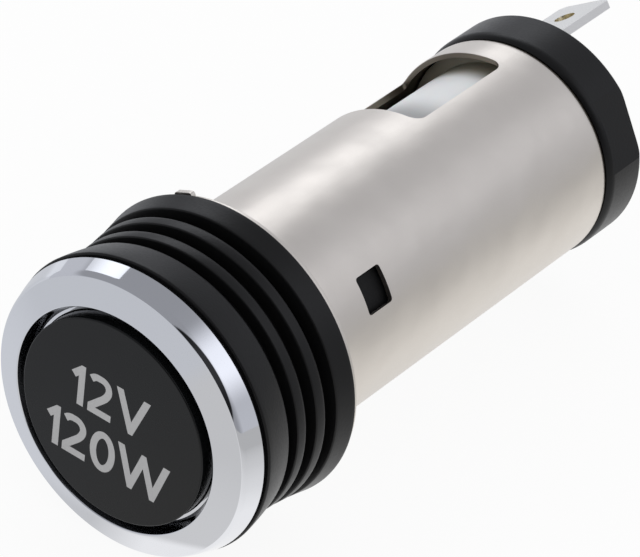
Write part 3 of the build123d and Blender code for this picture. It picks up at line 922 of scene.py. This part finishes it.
# %% Brass and spring strip
BRASS_TONES = (0.56, 0.38, 0.16), (0.78, 0.60, 0.30)
STRIP_TONES = (0.33, 0.33, 0.345), (0.45, 0.45, 0.46)
brass, wire, place = new_finish("contact_brass")
cloud = noise(wire, place, 420, 4, 0.6)
colour = colour_mix(wire, cloud, *BRASS_TONES)
close_finish(wire, base_color=colour, metallic=1.0, roughness=0.22 + 0.2 * cloud)
paint(brass, contact, rivet)

strip, wire, place = new_finish("spring_steel")
lines = noise(wire, stretched(wire, place, (1, 0.05, 1)), 4200)
colour = colour_mix(wire, lines, *STRIP_TONES)
close_finish(wire, base_color=colour, metallic=1.0, roughness=0.26 + 0.14 * lines)
paint(strip, spring, other_spring, washer)

# %% [markdown]
# ### Plastics
# The black mouldings differ in gloss: the grip and cap have a fine spark-eroded skin, the disc a smoother
# satin. The nylon is milky, so a little light passes under its surface, and its colour has painted shade:
# grey towards the front end of the slot and brownish grey towards the back end, where the barrel's
# shadow falls. The figures are a flat pale ink.

# %% Black mouldings
BLACK_TONES = (0.004, 0.004, 0.0043), (0.0065, 0.0065, 0.007)
DISC_TONES = (0.0022, 0.0025, 0.0028), (0.0038, 0.0042, 0.0046)


def black_moulding(name, tones, gloss, skin, level):
    """Black plastic with a fine skin: a base roughness, and the skin's scale, spread and depth."""
    material, wire, place = new_finish(name)
    scale, spread, depth = skin
    pits = noise(wire, place, scale, 2, 0.6)
    cloud = noise(wire, place, 110, 3)
    close_finish(wire, base_color=colour_mix(wire, cloud, *tones), specular_ior_level=level,
                 roughness=gloss + spread * pits + 0.06 * cloud, normal=bumped(wire, pits, 0.2, depth))
    return material


grip_black = black_moulding("grip_plastic", BLACK_TONES, 0.24, (4200, 0.16, 0.00005), 0.24)
cap_black = black_moulding("cap_plastic", BLACK_TONES, 0.24, (3600, 0.16, 0.00005), 0.24)
core_black = black_moulding("plug_plastic", BLACK_TONES, 0.42, (3600, 0.20, 0.00006), 0.20)
disc_black = black_moulding("disc_plastic", DISC_TONES, 0.18, (5200, 0.10, 0.00003), 0.30)
paint(grip_black, grip)
paint(cap_black, cap)
paint(core_black, core)
paint(disc_black, disc)

# %% Nylon and ink
NYLON_TONES = (0.66, 0.675, 0.69), (0.74, 0.75, 0.76)
SHADED_FRONT, SHADED_BACK = (0.30, 0.305, 0.31), (0.26, 0.24, 0.19)
INK_TONES = (0.40, 0.40, 0.405), (0.47, 0.47, 0.475)
nylon, wire, place = new_finish("pale_nylon")
cloud = noise(wire, place, 190, 3)
pits = noise(wire, place, 2600)
depth = along(wire, place, "Y")
colour = colour_mix(wire, cloud, *NYLON_TONES)
# Painted shade: grey towards the slot's front end, then brownish grey towards its back end.
colour = colour_mix(wire, ramp(wire, depth, 0.0288, 0.0335), SHADED_FRONT, colour)
colour = colour_mix(wire, ramp(wire, depth, 0.0375, 0.0400), colour, SHADED_BACK)
close_finish(wire, base_color=colour, roughness=0.36 + 0.14 * pits, normal=bumped(wire, pits, 0.15, 0.00004),
             subsurface_weight=0.15, subsurface_scale=0.0012)
paint(nylon, holder)

ink, wire, place = new_finish("pale_ink")
speck = noise(wire, place, 5200)
close_finish(wire, base_color=colour_mix(wire, speck, *INK_TONES), roughness=0.5 + 0.15 * speck)
paint(ink, volts, watts)

# %% [markdown]
# ## Studio
# The photograph is a product shot on white: a long lens from the front, right and above, with the camera
# rolled a few degrees. The floor and the world are white to the camera, and a soft box on each side lights
# the part at a plain level.

# %% Camera
LENS_MM, SENSOR_MM = 236.23, 36
LENS_PLACE = 0.16667, -0.23995, 0.22536
to_right = Vector((0.78559, 0.60984, 0.10461))
to_top = Vector((-0.43387, 0.42239, 0.79583))
to_lens = to_right.cross(to_top).normalized()
camera = bpy.data.objects.new("camera", bpy.data.cameras.new("camera"))
bpy.context.scene.collection.objects.link(camera)
camera.data.lens = LENS_MM
camera.data.sensor_width = SENSOR_MM
camera.data.clip_start, camera.data.clip_end = 0.01, 10
turn = Matrix((to_right, to_top, to_lens)).transposed().to_4x4()
camera.matrix_world = Matrix.Translation(LENS_PLACE) @ turn
bpy.context.scene.camera = camera
print("camera looks along", [round(c, 3) for c in -to_lens])

# %% [markdown]
# ### What the metal mirrors
# Bright metal shows what stands round it, so the floor and the room have tones of their own in
# reflections, and only there. In reflections the floor has painted light and shade: white beside the axis,
# greyer to the left and further to the right, lighter far behind on the left, and darker in front of the
# face, where the part's own shadow is painted. It is a little blue on the left, as daylight is.

# %% Floor
FLOOR_SIZE = 6
FLOOR_Z = CAD_BOX[0].z - 0.00005
FLOOR_GREY = 0.82, 0.82, 0.82, 1
WHITE, COOL = (1, 1, 1), (0.97, 0.995, 1.045)
TONE_SPAN = 0.10
TONES_BESIDE = (0.0, 0.66), (0.485, 0.65), (0.515, 1.0), (0.60, 1.0), (0.65, 0.84), (0.74, 0.70), (1.0, 0.50)


def ray_kinds(wire):
    """Whether a ray comes from the camera, from a mirror or through glass: one if it does, or nought."""
    kinds = "Camera", "Glossy", "Transmission"
    return [wire.node("ShaderNodeLightPath", out=f"Is {kind} Ray") for kind in kinds]


floor = start_piece("floor", bpy.ops.mesh.primitive_plane_add, size=FLOOR_SIZE)
bpy.ops.transform.translate(value=(0, 0, FLOOR_Z))
activate(floor)
paper, wire, place = new_finish("studio_floor")
seen, mirrored, passed = ray_kinds(wire)
across, depth = along(wire, place, "X"), along(wire, place, "Y")
span = wire.node("ShaderNodeMapRange", None, {
    "Value": across, "From Min": -TONE_SPAN, "From Max": TONE_SPAN})
stops = [(at, (level, level, level)) for at, level in TONES_BESIDE]
beside = wire.node("ShaderNodeValToRGB", {"stops": stops}, {"Fac": span})
# Painted light: the floor far behind on the left is lighter in reflections.
far_left = ramp(wire, depth, 0.025, 0.065) * ramp(wire, across, -0.035, -0.015, 1.0, 0.0)
beside = beside + 0.18 * far_left
# Painted shadow: in front of the face the floor is darker in reflections, as the part's own shadow.
ahead = ramp(wire, 0.0 - depth - 0.17 * across, 0.0160, 0.0170) * ramp(wire, across, 0.014, 0.024, 1.0, 0.0)
before = ramp(wire, 0.0 - depth, 0.018, 0.048, 0.71, 0.63)
tone = beside + ahead * (before - beside)
tint = colour_mix(wire, ramp(wire, across, -0.014, 0.004), COOL, WHITE)
glow = colour_mix(wire, mirrored, WHITE, scaled(wire, tint, tone))
lit = wire.node("ShaderNodeBsdfDiffuse", None, {"Color": FLOOR_GREY})
white = wire.node("ShaderNodeEmission", None, {"Color": glow})
share = 0.92 * seen + 0.95 * mirrored + 0.92 * passed
show(wire, wire.node("ShaderNodeMixShader", None, {0: share, 1: lit, 2: white}))
paint(paper, floor)

# %% World
SKY_LIGHT = 0.9
world = bpy.data.worlds.new("studio_world")
bpy.context.scene.world = world
world.use_nodes = True
world.node_tree.nodes.clear()
wire = Wire(world.node_tree)
seen, mirrored, passed = ray_kinds(wire)
share = wire.maths("MINIMUM", seen + mirrored + passed, 1.0)
sky = wire.node("ShaderNodeBackground", None, {
    "Color": (*WHITE, 1), "Strength": SKY_LIGHT + (1 - SKY_LIGHT) * share})
wire.node("ShaderNodeOutputWorld", None, {"Surface": sky}, None)
print("world lights the part at", SKY_LIGHT, "and shows as 1")

# %% Lamps
AIM = Vector((0, 0.02, 0))


def soft_box(name, place, size, power, spread=180):
    """A rectangular lamp at a place in metres, aimed at the part. A small spread dims it to its edges."""
    lamp = bpy.data.objects.new(name, bpy.data.lights.new(name, "AREA"))
    bpy.context.scene.collection.objects.link(lamp)
    lamp.data.shape = "RECTANGLE"
    lamp.data.size, lamp.data.size_y = size
    lamp.data.energy = power
    lamp.data.spread = radians(spread)
    lamp.data.color = COOL
    lamp.location = place
    lamp.rotation_euler = (AIM - Vector(place)).to_track_quat("-Z", "Y").to_euler()
    print(name, power, "W at", place)
    return lamp


soft_box("left_box", (-0.373, 0.313, 0.355), (0.50, 0.30), 0.086, spread=56)
right_box = soft_box("right_box", (0.36, 0.06, 0.46), (0.14, 0.20), 0.10)
right_box.visible_glossy = False

# %% [markdown]
# ### The room
# A half sphere stands for the room, and only reflections see it. It is dim in front and lighter behind,
# with a bright card on the upper right, a paler patch low on the left, and a dark patch where the camera
# and whoever holds it would be.

# %% Dim room
ROOM_R = 1.5
ROOM_TINT = 0.97, 0.99, 1.06
CARD_ANGLE, CARD_CORE, CARD_FADE = 47, 6, 31
TO_LENS, LENS_DARK, LENS_FADE, LENS_DEPTH = (0.54, -0.65, 0.53), 29, 34, 0.96
room = start_piece(
    "dim_room", bpy.ops.mesh.primitive_uv_sphere_add, segments=48, ring_count=24, radius=ROOM_R)
bpy.ops.mesh.bisect(plane_co=(0, 0, FLOOR_Z), plane_no=(0, 0, -1), clear_outer=True)
activate(room)
for ray in ("camera", "diffuse", "transmission", "volume_scatter", "shadow"):
    setattr(room, "visible_" + ray, False)
walls, wire, place = new_finish("room_walls")
across, depth, height = (along(wire, place, axis) for axis in "XYZ")
level = ramp(wire, depth + 0.5 * across, 0.1, 1.1, 0.34, 0.60)
round_axis = wire.maths("ARCTAN2", height, across)
off_card = wire.node("ShaderNodeMath", {"operation": "ABSOLUTE"}, {0: round_axis - radians(CARD_ANGLE)})
card = ramp(wire, off_card, radians(CARD_CORE), radians(CARD_FADE), 1.0, 0.0)
reach = ramp(wire, depth, 0.2, 1.3, 0.62, 0.10)
low_left = ramp(wire, height, 0.38, 0.62, 1.0, 0.0) * ramp(wire, across, -0.95, -0.55, 1.0, 0.0)
facing = vector_maths(wire, "DOT_PRODUCT", place, TO_LENS, "Value")
lens_side = ramp(wire, facing, ROOM_R * cos(radians(LENS_FADE)), ROOM_R * cos(radians(LENS_DARK)))
level = (level + card * reach + 0.25 * low_left) * (1.0 - LENS_DEPTH * lens_side)
show(wire, wire.node("ShaderNodeEmission", None, {"Color": scaled(wire, ROOM_TINT, level)}))
paint(walls, room)

# %% View settings
bpy.context.scene.view_settings.view_transform = "Standard"
